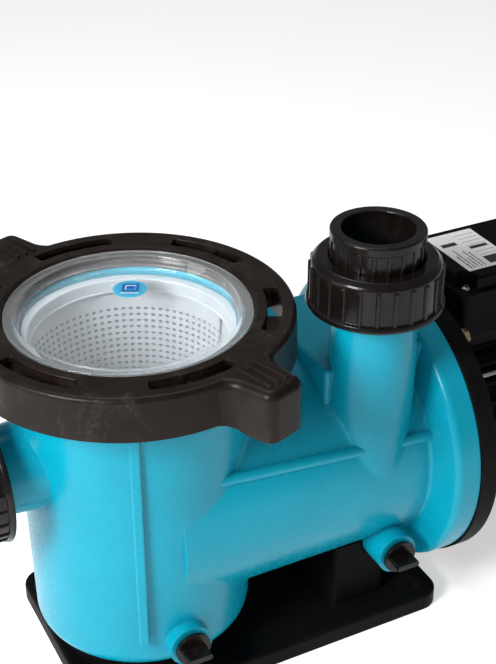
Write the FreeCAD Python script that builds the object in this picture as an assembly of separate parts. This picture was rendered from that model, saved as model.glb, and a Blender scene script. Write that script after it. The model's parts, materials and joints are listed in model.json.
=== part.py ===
import FreeCAD, Part

import math
import os

os.makedirs("parts", exist_ok=True)

# Pool pump: a basket strainer pot and a centrifugal pump in one moulding, driven by a close-coupled
# motor. +X runs along the shaft from the strainer pot to the motor, +Z is up, and the origin is on the
# floor under the axis of the pot. All sizes are in millimetres.

# ---- driving dimensions -------------------------------------------------------------------------

SHAFT_Z = 130.0              # height of the shaft axis above the floor
RING_TOP = SHAFT_Z + 153.5   # top face of the lid's lock ring

# strainer pot
POT_R = 83.2                 # outside, under the neck
POT_FOOT_R = 79.5            # outside, near the bottom
POT_BOTTOM = 31.0
POT_WALL = 5.2
NECK_R = 88.0                # threaded neck that the lock ring screws onto (thread left smooth)
NECK_TOP = RING_TOP - 11.5
NECK_BOTTOM = RING_TOP - 33.0
LEDGE_R = 72.9               # ledge that the basket hangs from
LEDGE_Z = RING_TOP - 22.0
SEAT_R = 77.4                # neck bore above the ledge

# volute tank
TANK_R = 85.0
CHAMBER_R = TANK_R - 6.5     # inside of the suction and volute chambers
PARTITION_X = 119.0          # wall between the suction chamber and the volute chamber
PARTITION_T = 5.0
BLOCK_X = 123.5              # square block on top of the tank
BLOCK_HALF_Y = 52.5
BLOCK_TOP = RING_TOP - 57.6
BLOCK_END_X = 206.0
COLUMN_R = 29.5              # discharge column under its neck
FLANGE_X = 222.8             # motor side face of the body flange
FLANGE_R = 110.5
BOLT_CIRCLE_R = 102.6
BOLT_COUNT = 8
BOLT_START_DEG = 28.5        # first bolt, from straight up towards -Y
BOLT_R = 3.2
BODY_ORING_R, BODY_ORING_WIRE_R = 90.5, 1.3
SHOULDER_X = 196.5           # where the tank steps out towards the flange
SCROLL_X0, SCROLL_X1 = 187.0, 207.0
CUTWATER_Y = -25.0           # where the scroll stops, behind the discharge column
SCROLL_R = 109.0             # widening of the volute, off-centre away from the discharge
SCROLL_OFFSET_Y, SCROLL_OFFSET_Z = 11.5, 8.0
EYE_BORE_R = 27.3            # opening of the partition for the impeller's suction eye
RIB_R = 4.2                  # parting line ribs on the tank
POT_RIB_DEG = 111.8          # upright ribs of the pot, either side of its -X half

# pipe unions
DISCHARGE_X, DISCHARGE_Y = 160.1, -53.0
DISCHARGE_FACE_Z = RING_TOP + 15.0    # sealing face of the discharge neck
SUCTION_Z = 181.0
SUCTION_FACE_X = -128.0
SOCKET_BORE_R = 25.1         # glue socket for a 50 mm pipe
SOCKET_R = 32.8
SOCKET_RIM = 31.5            # rim of the socket above the sealing face
UNION_THREAD_R = 40.5
PIPE_BORE_R = 22.5

# motor
PLATE_T = 15.2               # rim thickness of the seal plate
PLATE_X = FLANGE_X + PLATE_T
SHIELD_R = 80.0
HOUSING_X0, HOUSING_X1 = PLATE_X + 16.0, 428.0
HOUSING_R = 66.0
FIN_R = 76.0
FIN_COUNT = 32
STATOR_R = 60.0
AIR_GAP_R = 36.0
TIE_ROD_CIRCLE_R = 71.0
TIE_ROD_R, TIE_ROD_HOLE_R = 2.5, 2.7
TIE_RODS, TIE_ROD_START_DEG = 4, 45.0
FAN_COVER_R = 81.0
FAN_COVER_X0, FAN_COVER_X1 = 434.0, 490.0
FAN_COVER_WALL = 2.0
COVER_SCREWS, COVER_SCREW_X = 3, HOUSING_X1 + 10.5
WIRE_WAY_X, WIRE_WAY_R = 290.0, 9.0
STATOR_SLOTS = 24
MOTOR_FOOT_SCREWS_X = (365.0, 379.0)

# terminal box
BOX_TOP = RING_TOP - 24.0    # top of the raised panel of the lid
BOX_X0, BOX_X1 = 244.0, 356.0
BOX_HALF_Y = 41.0
BOX_LIP_Z = BOX_TOP - 10.5   # top of the lid's lower lip
BOX_FLOOR_Z = SHAFT_Z + 80.0
SCREW_INSET = 8.5

# base
BASE_X0, BASE_X1 = -72.0, 218.0
BASE_HALF_Y = 84.0
BASE_T = 14.0
FOOT_SLOT_R, FOOT_SLOT_LENGTH = 4.5, 18.0
FOOT_HOLES_X = (-50.0, 196.0)
FOOT_HOLES_Y = 70.0
BASE_SCREW_CIRCLE_R = 52.0
CRADLE_X0, CRADLE_X1 = 132.0, 176.0
CRADLE_HALF_Y = 62.0

# ---- shape helpers ------------------------------------------------------------------------------

def vec(x, y, z):
    return FreeCAD.Vector(x, y, z)


def outline(points, place):
    """Closed wire through (u, v) or (u, v, corner radius) points, put in space by place(u, v)."""
    corners = []
    for i, point in enumerate(points):
        u, v = point[:2]
        radius = point[2] if len(point) > 2 else 0
        if not radius:
            corners.append([(u, v)])
            continue
        before, after = points[i - 1], points[(i + 1) % len(points)]
        first = math.atan2(before[1] - v, before[0] - u)
        second = math.atan2(after[1] - v, after[0] - u)
        turn = (second - first + math.pi) % (2 * math.pi) - math.pi
        back = radius / math.tan(abs(turn) / 2)
        reach = radius / math.sin(abs(turn) / 2) - radius
        middle = first + turn / 2
        corners.append([(u + back * math.cos(first), v + back * math.sin(first)),
                        (u + reach * math.cos(middle), v + reach * math.sin(middle)),
                        (u + back * math.cos(second), v + back * math.sin(second))])
    edges = []
    for i, corner in enumerate(corners):
        if len(corner) == 3:
            edges.append(Part.Arc(*[place(*p) for p in corner]).toShape())
        start, stop = corner[-1], corners[(i + 1) % len(corners)][0]
        if math.dist(start, stop) > 1e-6:
            edges.append(Part.LineSegment(place(*start), place(*stop)).toShape())
    return Part.Wire(edges)


def turned(points, base=(0, 0, 0), axis=(0, 0, 1)):
    """Solid of revolution of (radius, height) points about the axis through base."""
    start, along = vec(*base), vec(*axis)
    side = vec(0, 0, 1) if abs(axis[2]) < 0.5 else vec(1, 0, 0)
    wire = outline(points, lambda r, h: start + along * h + side * r)
    return Part.Face(wire).revolve(start, along, 360)


def on_shaft(points):
    """Solid of revolution about the shaft axis of (x, radius) points."""
    return turned([(p[1], p[0], *p[2:]) for p in points], (0, 0, SHAFT_Z), (1, 0, 0))


def rod_x(x0, x1, radius, y=0.0, z=SHAFT_Z):
    return Part.makeCylinder(radius, x1 - x0, vec(x0, y, z), vec(1, 0, 0))


def rod_y(y0, y1, radius, x, z):
    return Part.makeCylinder(radius, y1 - y0, vec(x, y0, z), vec(0, 1, 0))


def rod_z(z0, z1, radius, x=0.0, y=0.0):
    return Part.makeCylinder(radius, z1 - z0, vec(x, y, z0), vec(0, 0, 1))


def tube_x(x0, x1, outer, inner):
    return rod_x(x0, x1, outer).cut(rod_x(x0 - 1, x1 + 1, inner))


def box(x0, x1, y0, y1, z0, z1):
    return Part.makeBox(x1 - x0, y1 - y0, z1 - z0, vec(x0, y0, z0))


def slab(points, z0, z1):
    """Upright prism of a plan outline of (x, y) or (x, y, corner radius) points."""
    return Part.Face(outline(points, lambda x, y: vec(x, y, z0))).extrude(vec(0, 0, z1 - z0))


def rounded_slab(x0, x1, half_y, z0, z1, radius):
    return slab([(x0, -half_y, radius), (x1, -half_y, radius),
                 (x1, half_y, radius), (x0, half_y, radius)], z0, z1)


def hexagon(across, length, base, axis):
    """Hexagonal prism of that width across flats, along an axis-aligned direction."""
    radius = across / math.sqrt(3)
    corners = [(radius * math.cos(math.radians(60 * k)), radius * math.sin(math.radians(60 * k)))
               for k in range(7)]
    wire = Part.makePolygon([vec(x, y, 0) for x, y in corners])
    prism = Part.Face(wire).extrude(vec(0, 0, length))
    prism.Placement = FreeCAD.Placement(vec(*base), FreeCAD.Rotation(vec(0, 0, 1), vec(*axis)))
    return prism


def ring_of(shape, count, axis_base, axis, start=0.0):
    """Copies of a shape spaced evenly round an axis."""
    copies = []
    for k in range(count):
        copy = shape.copy()
        copy.rotate(vec(*axis_base), vec(*axis), start + k * 360.0 / count)
        copies.append(copy)
    return copies


def round_shaft(shape, count, start=0.0):
    return ring_of(shape, count, (0, 0, SHAFT_Z), (1, 0, 0), start)


def fuse(shapes):
    return shapes[0].multiFuse(shapes[1:]).removeSplitter()


def cut(shape, tools):
    return shape.cut(Part.makeCompound(tools))


def soften(shape, radius, wanted):
    """Rounds the edges that wanted(edge) picks."""
    return shape.makeFillet(radius, [e for e in shape.Edges if wanted(e)])


def save(name, shape):
    pieces = shape if isinstance(shape, list) else shape.Solids
    assert pieces and all(piece.isValid() and piece.Volume > 0 for piece in pieces), name
    whole = pieces[0] if len(pieces) == 1 else Part.makeCompound(pieces)
    whole.exportStep(f"parts/{name}.step")


# ---- pump body ----------------------------------------------------------------------------------

def pot_shell(top=NECK_TOP):
    """Outside of the pot up to its neck, and of the neck if top is above it."""
    barrel = [(0, POT_BOTTOM), (POT_FOOT_R, POT_BOTTOM, 12), (POT_R, NECK_BOTTOM)]
    neck = [(NECK_R, NECK_BOTTOM + 3, 1), (NECK_R, top, 1)] if top > NECK_BOTTOM else []
    return turned(barrel + neck + [(0, top)])


def pot_neck():
    return turned([(0, NECK_BOTTOM - 8), (POT_R - 20, NECK_BOTTOM - 8), (POT_R, NECK_BOTTOM),
                   (NECK_R, NECK_BOTTOM + 3, 1), (NECK_R, NECK_TOP, 1), (0, NECK_TOP)])


def blended(first, second, radius):
    """Two shapes joined with a fillet along the free-form crease where they meet."""
    joined = first.fuse(second)
    kept = [e.CenterOfMass for shape in (first, second) for e in shape.Edges]
    creases = [e for e in joined.Edges if type(e.Curve).__name__ == "BSplineCurve"
               and e.BoundBox.XLength > 1
               and min(e.CenterOfMass.distanceToPoint(k) for k in kept) > 1]
    return joined.makeFillet(radius, creases)


def pot_cavity():
    return turned([(0, POT_BOTTOM + 7), (POT_FOOT_R - POT_WALL, POT_BOTTOM + 7, 10),
                   (POT_R - POT_WALL, NECK_BOTTOM - 4), (LEDGE_R, NECK_BOTTOM + 2), (LEDGE_R, LEDGE_Z),
                   (SEAT_R, LEDGE_Z), (SEAT_R, NECK_TOP + 1), (0, NECK_TOP + 1)])


def union_neck(face, axis, length, root_r, top_r):
    """Tapered neck that ends in the union's thread, with its sealing face at face."""
    return turned([(0, -length), (root_r, -length), (top_r, -26), (UNION_THREAD_R - 1.5, -21.5),
                   (UNION_THREAD_R, -20), (UNION_THREAD_R, -0.8), (UNION_THREAD_R - 0.8, 0), (0, 0)],
                  face, axis)


def oring_groove(face, axis, ring_r):
    return turned([(ring_r - 1.8, -2.8), (ring_r + 1.8, -2.8), (ring_r + 1.8, 1), (ring_r - 1.8, 1)],
                  face, axis)


DISCHARGE_FACE = (DISCHARGE_X, DISCHARGE_Y, DISCHARGE_FACE_Z)
SUCTION_FACE = (SUCTION_FACE_X, 0, SUCTION_Z)
UNION_ORING_R = 28.6
PLUG_R = 8.0                 # drain plug shanks; both drains face -Y
POT_DRAIN_Z = POT_BOTTOM + 22
VOLUTE_DRAIN_X = 172.0
VOLUTE_DRAIN_Z = SHAFT_Z - 62


def tank_rib(x0, angle0, x1, angle1, side):
    """Half-round rib lying on the tank, from one angle above the horizontal to another."""
    def end(x, deg):
        reach, turn = TANK_R + 0.5, math.radians(deg)
        return vec(x, side * reach * math.cos(turn), SHAFT_Z + reach * math.sin(turn))
    run = end(x1, angle1) - end(x0, angle0)
    return Part.makeCylinder(RIB_R, run.Length, end(x0, angle0), run)


def body_outside():
    shoulder = on_shaft([(120, 0), (120, TANK_R), (SHOULDER_X, TANK_R, 3), (SHOULDER_X + 7, FLANGE_R, 6),
                         (FLANGE_X, FLANGE_R, 0.8), (FLANGE_X, 0)])
    scroll = turned([(0, SCROLL_X0), (SCROLL_R, SCROLL_X0, 7), (SCROLL_R, SCROLL_X1, 3), (0, SCROLL_X1)],
                    (0, SCROLL_OFFSET_Y, SHAFT_Z + SCROLL_OFFSET_Z), (1, 0, 0))
    scroll = scroll.common(box(SCROLL_X0 - 1, SCROLL_X1 + 1, CUTWATER_Y, 200, 0, 300))
    block = rounded_slab(BLOCK_X, BLOCK_END_X, BLOCK_HALF_Y, SHAFT_Z, BLOCK_TOP, 3)
    block = soften(block, 2.4, lambda e: e.BoundBox.ZMin > BLOCK_TOP - 0.1)
    neck = union_neck(DISCHARGE_FACE, (0, 0, 1), 30, COLUMN_R, COLUMN_R)
    sections = [(DISCHARGE_FACE_Z - 25, 0, COLUMN_R), (SHAFT_Z + 75, -0.5, COLUMN_R + 2),
                (SHAFT_Z, -4.5, COLUMN_R + 1.3)]
    column = Part.makeLoft([Part.Wire(Part.makeCircle(r, vec(DISCHARGE_X + dx, DISCHARGE_Y, z)))
                            for z, dx, r in sections], True)
    suction = union_neck(SUCTION_FACE, (-1, 0, 0), -SUCTION_FACE_X - 20, 36.5, 30.5)
    parting_ribs = [tank_rib(20, 33, SCROLL_X1 - 3, 23.5, side) for side in (-1, 1)]
    pot_rib = slab([(POT_FOOT_R - 8, -3.6), (POT_R + 3.2, -3.6, 1.6), (POT_R + 3.2, 3.6, 1.6),
                    (POT_FOOT_R - 8, 3.6)], POT_BOTTOM + 30, NECK_BOTTOM + 1)
    ribs = []
    for angle in (-POT_RIB_DEG, POT_RIB_DEG):
        copy = pot_rib.copy()
        copy.rotate(vec(0, 0, 0), vec(0, 0, 1), angle)
        ribs.append(copy)
    bosses = [rod_y(-TANK_R, -52, PLUG_R + 8, VOLUTE_DRAIN_X, VOLUTE_DRAIN_Z),
              rod_y(-POT_R - 5, -60, PLUG_R + 8, 0, POT_DRAIN_Z)]
    core = blended(rod_x(0, FLANGE_X - 8, TANK_R), pot_shell(NECK_BOTTOM), 9)
    core = blended(core, column, 6)
    return fuse([core, shoulder, scroll, pot_neck(), block, neck, suction]
                + parting_ribs + ribs + bosses)


def body_inside():
    pipe = rod_z(SHAFT_Z + 40, DISCHARGE_FACE_Z + 1, PIPE_BORE_R, DISCHARGE_X, DISCHARGE_Y)
    inlet = rod_x(SUCTION_FACE_X - 1, -40, PIPE_BORE_R, 0, SUCTION_Z)
    suction_chamber = rod_x(20, PARTITION_X, CHAMBER_R).cut(pot_shell())
    throat = rod_x(40, PARTITION_X - 1, 40)
    eye = rod_x(PARTITION_X - 2, PARTITION_X + PARTITION_T + 1, EYE_BORE_R)
    volute = on_shaft([(PARTITION_X + PARTITION_T, 0), (PARTITION_X + PARTITION_T, CHAMBER_R, 5),
                       (FLANGE_X + 1, CHAMBER_R), (FLANGE_X + 1, 0)])
    face_groove = tube_x(FLANGE_X - 3, FLANGE_X + 1, BODY_ORING_R + 2.1, BODY_ORING_R - 2.1)
    bolt = rod_x(FLANGE_X - 17, FLANGE_X + 1, BOLT_R + 0.1, 0, SHAFT_Z + BOLT_CIRCLE_R)
    drains = [rod_y(-140, -44, PLUG_R + 0.05, VOLUTE_DRAIN_X, VOLUTE_DRAIN_Z),
              rod_y(-140, -60, PLUG_R + 0.05, 0, POT_DRAIN_Z)]
    screws = [rod_z(POT_BOTTOM - 1, POT_BOTTOM + 5, 2.4, x, y) for x, y in base_screw_places()]
    return ([pipe, inlet, pot_cavity(), suction_chamber, throat, eye, volute, face_groove,
             oring_groove(DISCHARGE_FACE, (0, 0, 1), UNION_ORING_R),
             oring_groove(SUCTION_FACE, (-1, 0, 0), UNION_ORING_R)]
            + round_shaft(bolt, BOLT_COUNT, BOLT_START_DEG) + drains + screws)


def base_screw_places():
    turns = [math.radians(deg) for deg in (45, 135, 225, 315)]
    return [(BASE_SCREW_CIRCLE_R * math.cos(a), BASE_SCREW_CIRCLE_R * math.sin(a)) for a in turns]


def make_body():
    save("pump_body", cut(body_outside(), body_inside()))
    save("body_oring", Part.makeTorus(BODY_ORING_R, BODY_ORING_WIRE_R,
                                      vec(FLANGE_X - BODY_ORING_WIRE_R - 0.05, 0, SHAFT_Z), vec(1, 0, 0)))


# ---- lid, lock ring and basket ------------------------------------------------------------------

SLOT_R0, SLOT_R1 = 92.8, 102.6
SLOT_COUNT = 6
SLOT_HALF_DEG = 16.9
SLOT_FIRST_DEG = 31.5
HANDLE_DEG = (-70.5, 109.5)
GRIP_LINES_Y = (-7, 0, 7)
HANDLE_BOTTOM = RING_TOP - 34.8
HANDLE_TIP_R = 144.6
HANDLE_EDGE_R = 6.0
HANDLE_TOP = RING_TOP + 0.9    # at the tip; the top falls to the face of the ring at the root
RING_R, SKIRT_R = 112.3, 113.3
SKIRT_BOTTOM = RING_TOP - 31.0
RING_LIP_R = 83.8
THREAD_R = NECK_R + 0.35
RING_PLATE = 3.6             # top wall of the ring, over a hollow with radial webs
HOLLOW_R = 92.3


def arc_slot(r0, r1, middle_deg, half_deg, z0, z1, end_r):
    """Curved slot of rounded ends between two radii, centred on an angle."""
    def at(r, deg):
        return vec(r * math.cos(math.radians(deg)), r * math.sin(math.radians(deg)), z0)
    lo, hi = middle_deg - half_deg, middle_deg + half_deg
    bulge = end_r * 0.29         # how far a corner's mid point stands in from both its sides

    def corner(r, edge_deg, radial, turning):
        """Rounded corner between the side at radius r and the end at edge_deg, side first."""
        back = math.degrees(1 / r) * turning
        return [at(r, edge_deg + back * end_r), at(r + radial * bulge, edge_deg + back * bulge),
                at(r + radial * end_r, edge_deg)]
    inner_hi, outer_hi = corner(r0, hi, 1, -1), corner(r1, hi, -1, -1)
    inner_lo, outer_lo = corner(r0, lo, 1, 1), corner(r1, lo, -1, 1)
    edges = [Part.Arc(inner_lo[0], at(r0, middle_deg), inner_hi[0]), Part.Arc(*inner_hi),
             Part.LineSegment(inner_hi[2], outer_hi[2]), Part.Arc(*outer_hi[::-1]),
             Part.Arc(outer_hi[0], at(r1, middle_deg), outer_lo[0]), Part.Arc(*outer_lo),
             Part.LineSegment(outer_lo[2], inner_lo[2]), Part.Arc(*inner_lo[::-1])]
    return Part.Face(Part.Wire([e.toShape() for e in edges])).extrude(vec(0, 0, z1 - z0))


def handle_plan():
    """Plan of one handle along +X. Its sides sweep out of the rim of the ring, tangent to it."""
    spread = math.radians(16)
    foot_x, foot_y = RING_R * math.cos(spread), RING_R * math.sin(spread)
    root_half, tip_half = 18.9, 15.2
    root_x = foot_x + (foot_y - root_half) * math.tan(spread)
    lower = [(95, -foot_y + 3), (foot_x, -foot_y), (root_x, -root_half, 14), (HANDLE_TIP_R, -tip_half, 8)]
    return lower + [(point[0], -point[1], *point[2:]) for point in reversed(lower)]


def make_lock_ring():
    shell = turned([(RING_LIP_R, RING_TOP - 5), (RING_LIP_R, RING_TOP - 2.4, 0.8), (86.4, RING_TOP, 1),
                    (RING_R, RING_TOP, 3.6), (SKIRT_R, SKIRT_BOTTOM, 0.8), (SKIRT_R - 4.2, SKIRT_BOTTOM),
                    (SKIRT_R - 5, RING_TOP - RING_PLATE), (HOLLOW_R, RING_TOP - RING_PLATE),
                    (HOLLOW_R, RING_TOP - 28), (THREAD_R, RING_TOP - 28), (THREAD_R, RING_TOP - 5)])
    webs = ring_of(box(HOLLOW_R - 1, SKIRT_R - 4, -1.2, 1.2, SKIRT_BOTTOM + 1.5, RING_TOP - RING_PLATE - 3),
                   2 * SLOT_COUNT, (0, 0, 0), (0, 0, 1), SLOT_FIRST_DEG)
    profile = [(90, HANDLE_BOTTOM + 5), (90, RING_TOP - 0.3), (HANDLE_TIP_R + 1, HANDLE_TOP),
               (HANDLE_TIP_R + 1, HANDLE_BOTTOM), (124, HANDLE_BOTTOM), (108, SKIRT_BOTTOM),
               (94, SKIRT_BOTTOM)]
    wire = Part.makePolygon([vec(x, -50, z) for x, z in profile + profile[:1]])
    handle = slab(handle_plan(), HANDLE_BOTTOM, RING_TOP + 5).common(
        Part.Face(wire).extrude(vec(0, 100, 0)))
    handle = soften(handle, HANDLE_EDGE_R,
                    lambda e: e.BoundBox.ZMin > RING_TOP - 2 and e.BoundBox.XMax > RING_R - 1.3)
    handle = handle.cut(rod_z(RING_TOP - 60, RING_TOP + 5, SKIRT_R - 8.8))
    grips = [soften(box(107.8, 136.5, y - 1.3, y + 1.3, RING_TOP - 6, RING_TOP + 1.9), 1.0,
                    lambda e: e.BoundBox.ZMin > RING_TOP - 5) for y in GRIP_LINES_Y]
    pocket = slab([(116, -13.5, 3), (HANDLE_TIP_R - 4, -10.2, 3), (HANDLE_TIP_R - 4, 10.2, 3),
                   (116, 13.5, 3)], HANDLE_BOTTOM - 1, RING_TOP - 8)
    added, removed = [], []
    for angle in HANDLE_DEG:
        for shape, group in [(handle, added), (pocket, removed)] + [(g, added) for g in grips]:
            copy = shape.copy()
            copy.rotate(vec(0, 0, 0), vec(0, 0, 1), angle)
            group.append(copy)
    slots = [arc_slot(SLOT_R0, SLOT_R1, SLOT_FIRST_DEG + 360 / SLOT_COUNT * k, SLOT_HALF_DEG,
                      RING_TOP - RING_PLATE - 2, RING_TOP + 2, 2.5) for k in range(SLOT_COUNT)]
    ring = cut(fuse([shell] + added + webs), removed + slots)
    ring = soften(ring, 0.8, is_slot_rim)
    save("lock_ring", ring)


def is_slot_rim(edge):
    middle = edge.BoundBox.Center
    flat = edge.BoundBox.ZLength < 0.01 and abs(middle.z - RING_TOP) < 0.01
    radius = max(math.hypot(v.X, v.Y) for v in edge.Vertexes)
    return flat and SLOT_R0 - 0.1 < radius < SLOT_R1 + 0.1


MARK_X, MARK_Y, MARK_R = 17.3, 40.1, 12.0
PANE_TOP = RING_TOP - 11.0


def make_window():
    window = turned([(0, PANE_TOP - 4), (0, PANE_TOP), (72.6, PANE_TOP, 2.0), (75.6, RING_TOP - 0.8, 0.8),
                     (83.3, RING_TOP - 0.8, 0.8), (83.3, RING_TOP - 5.6, 0.3), (87.6, RING_TOP - 5.6, 0.5),
                     (87.6, RING_TOP - 9.8), (77.0, RING_TOP - 9.8, 0.2), (76.6, PANE_TOP - 4, 1.0)])
    save("lid_window", window)
    save("window_mark", rod_z(PANE_TOP, PANE_TOP + 0.4, MARK_R, MARK_X, MARK_Y))
    save("lid_gasket", turned([(SEAT_R + 0.2, NECK_TOP), (SEAT_R + 0.2, RING_TOP - 9.85, 0.3),
                               (NECK_R - 0.6, RING_TOP - 9.85, 0.3), (NECK_R - 0.6, NECK_TOP)]))


BASKET_TOP = RING_TOP - 19.0
BASKET_BOTTOM = RING_TOP - 150.0
BASKET_R0, BASKET_R1 = 71.2, 60.0      # outside, under the rim and at the floor
BASKET_RIM_R = SEAT_R - 1.0
BASKET_WALL = 2.4
BASKET_INLET_R = 31.0


def make_basket():
    basket = turned([(0, BASKET_BOTTOM), (BASKET_R1, BASKET_BOTTOM, 6), (BASKET_R0, BASKET_TOP - 2.8),
                     (BASKET_RIM_R, BASKET_TOP - 2.8), (BASKET_RIM_R, BASKET_TOP, 1.0),
                     (BASKET_R0 - BASKET_WALL, BASKET_TOP),
                     (BASKET_R1 - BASKET_WALL, BASKET_BOTTOM + BASKET_WALL, 4),
                     (0, BASKET_BOTTOM + BASKET_WALL)])
    save("basket", basket.cut(rod_x(-90, -30, BASKET_INLET_R, 0, SUCTION_Z)))


# ---- unions -------------------------------------------------------------------------------------

NUT_BOTTOM, NUT_TOP = -24.5, 11.0
NUT_RIBS, SOCKET_RIBS = 24, 20


def union_nut():
    """Ribbed union nut about +Z, its zero height at the sealing face."""
    nut = turned([(UNION_THREAD_R + 0.5, NUT_BOTTOM), (47.2, NUT_BOTTOM, 1.2), (48.1, -22.6, 1.4),
                  (47.4, -20.2, 0.8), (45.2, -19.4, 0.6), (44.8, 7.0, 4.0), (41.0, NUT_TOP, 2.0),
                  (SOCKET_R + 0.6, NUT_TOP), (SOCKET_R + 0.6, 5.3), (UNION_THREAD_R + 0.5, 5.3)])
    rib = soften(box(42.5, 46.5, -1.5, 1.5, -20.4, 5.2), 1.0, lambda e: e.BoundBox.XMin > 46.4)
    return fuse([nut] + ring_of(rib, NUT_RIBS, (0, 0, 0), (0, 0, 1)))


def union_tailpiece():
    """Glue socket with a flange that the nut clamps."""
    socket = turned([(PIPE_BORE_R, 0.3), (39.2, 0.3, 0.6), (39.2, 5.0, 0.8), (SOCKET_R - 1.2, 5.0),
                     (SOCKET_R - 1.2, SOCKET_RIM - 7), (SOCKET_R, SOCKET_RIM - 6, 0.5),
                     (SOCKET_R, SOCKET_RIM, 1.4), (SOCKET_BORE_R, SOCKET_RIM, 1.0),
                     (SOCKET_BORE_R, 2.5), (PIPE_BORE_R, 2.5)])
    rib = soften(box(29, SOCKET_R - 0.1, -1.4, 1.4, NUT_TOP - 2, SOCKET_RIM - 6), 0.7,
                 lambda e: e.BoundBox.XMin > SOCKET_R - 0.2)
    return fuse([socket] + ring_of(rib, SOCKET_RIBS, (0, 0, 0), (0, 0, 1)))


def make_unions():
    places = {
        "discharge": FreeCAD.Placement(vec(*DISCHARGE_FACE), FreeCAD.Rotation()),
        "suction": FreeCAD.Placement(vec(*SUCTION_FACE), FreeCAD.Rotation(vec(0, 1, 0), -90)),
    }
    oring = Part.makeTorus(UNION_ORING_R, 1.5, vec(0, 0, -1.25))
    for side, place in places.items():
        for name, shape in (("union_nut", union_nut()), ("tailpiece", union_tailpiece()), ("oring", oring)):
            placed = shape.copy()
            placed.Placement = place
            save(f"{side}_{name}", placed)


# ---- base, drains -------------------------------------------------------------------------------

def foot_slot(x, y):
    half = FOOT_SLOT_LENGTH / 2 - FOOT_SLOT_R
    bar = box(x - half, x + half, y - FOOT_SLOT_R, y + FOOT_SLOT_R, -1, BASE_T + 30)
    ends = [rod_z(-1, BASE_T + 30, FOOT_SLOT_R, x + side * half, y) for side in (-1, 1)]
    return fuse([bar] + ends)


def make_base():
    plate = rounded_slab(BASE_X0, BASE_X1, BASE_HALF_Y, 0, BASE_T, 16)
    plate = soften(plate, 3, lambda e: e.BoundBox.ZMin > BASE_T - 0.1)
    pot_seat = turned([(0, BASE_T - 2), (66, BASE_T - 2), (64, POT_BOTTOM), (0, POT_BOTTOM)])
    cradle = rounded_slab(CRADLE_X0, CRADLE_X1, CRADLE_HALF_Y, BASE_T - 2, SHAFT_Z - 60, 4)
    cradle = cradle.cut(rod_x(CRADLE_X0 - 10, CRADLE_X1 + 10, TANK_R))
    lightening = [rounded_slab(CRADLE_X0 + 6, CRADLE_X1 - 6, 20, BASE_T, SHAFT_Z, 3) for _ in range(2)]
    for pocket, y in zip(lightening, (-36, 36)):
        pocket.translate(vec(0, y, 0))
    slots = [foot_slot(x, y) for x in FOOT_HOLES_X for y in (-FOOT_HOLES_Y, FOOT_HOLES_Y)]
    holes = []
    for x, y in base_screw_places():
        holes += [rod_z(-1, POT_BOTTOM + 1, 2.6, x, y), rod_z(-1, 8, 5.2, x, y)]
    recesses = [rod_z(BASE_T - 5, BASE_T + 30, 15, x, y)
                for x in FOOT_HOLES_X[:1] for y in (-FOOT_HOLES_Y, FOOT_HOLES_Y)]
    drain_relief = [rod_y(-140, -50, PLUG_R + 9, 0, POT_DRAIN_Z),
                    rod_y(-140, -50, PLUG_R + 9, VOLUTE_DRAIN_X, VOLUTE_DRAIN_Z)]
    foot = fuse([plate, pot_seat, cradle])
    save("base_foot", cut(foot, lightening + slots + holes + recesses + drain_relief))
    screws = [fuse([rod_z(3.6, 8, 4.9, x, y), rod_z(7, POT_BOTTOM + 4.5, 2.35, x, y)])
              for x, y in base_screw_places()]
    screws = [s.cut(box(x - 4, x + 4, y - 0.7, y + 0.7, 3, 5.4))
              for s, (x, y) in zip(screws, base_screw_places())]
    save("base_screws", screws)


def drain_plug(x, z, face_y):
    """Thumb plug along -Y: shank, flange and a flat thumb grip."""
    shank = rod_y(face_y + 0.2, face_y + 17, PLUG_R, x, z)
    flange = rod_y(face_y - 4.4, face_y - 1.9, PLUG_R + 5, x, z)
    neck = rod_y(face_y - 2.5, face_y + 0.5, PLUG_R - 2.4, x, z)
    grip = soften(box(x - 9, x + 9, face_y - 16, face_y - 4, z - 2.2, z + 2.2), 1.6,
                  lambda e: e.BoundBox.YLength > 5)
    return fuse([shank, flange, neck, grip])


def make_drains():
    for name, x, z, face in (("volute", VOLUTE_DRAIN_X, VOLUTE_DRAIN_Z, -TANK_R),
                             ("pot", 0.0, POT_DRAIN_Z, -POT_R - 5)):
        save(f"{name}_drain_plug", drain_plug(x, z, face))
        save(f"{name}_drain_oring", Part.makeTorus(PLUG_R - 0.3, 0.9, vec(x, face - 0.95, z), vec(0, 1, 0)))


# ---- hydraulics and shaft seal ------------------------------------------------------------------

IMPELLER_R = 58.0
VANES = 6
GUIDE_VANES = 9
EYE_R = 21.0


def vane(radius0, radius1, sweep, thickness, x0, x1):
    """One backward-curved vane about the shaft, between two radii."""
    def at(r, deg):
        return vec(x0, r * math.sin(math.radians(deg)), SHAFT_Z + r * math.cos(math.radians(deg)))
    wide = math.degrees(thickness / radius0)
    thin = math.degrees(thickness / radius1)
    middle = (radius0 + radius1) / 2
    edges = [Part.Arc(at(radius0, 0), at(middle, sweep * 0.42), at(radius1, sweep)),
             Part.LineSegment(at(radius1, sweep), at(radius1, sweep + thin)),
             Part.Arc(at(radius1, sweep + thin), at(middle, sweep * 0.42 + (wide + thin) / 2),
                      at(radius0, wide)),
             Part.LineSegment(at(radius0, wide), at(radius0, 0))]
    return Part.Face(Part.Wire([e.toShape() for e in edges])).extrude(vec(x1 - x0, 0, 0))


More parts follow.
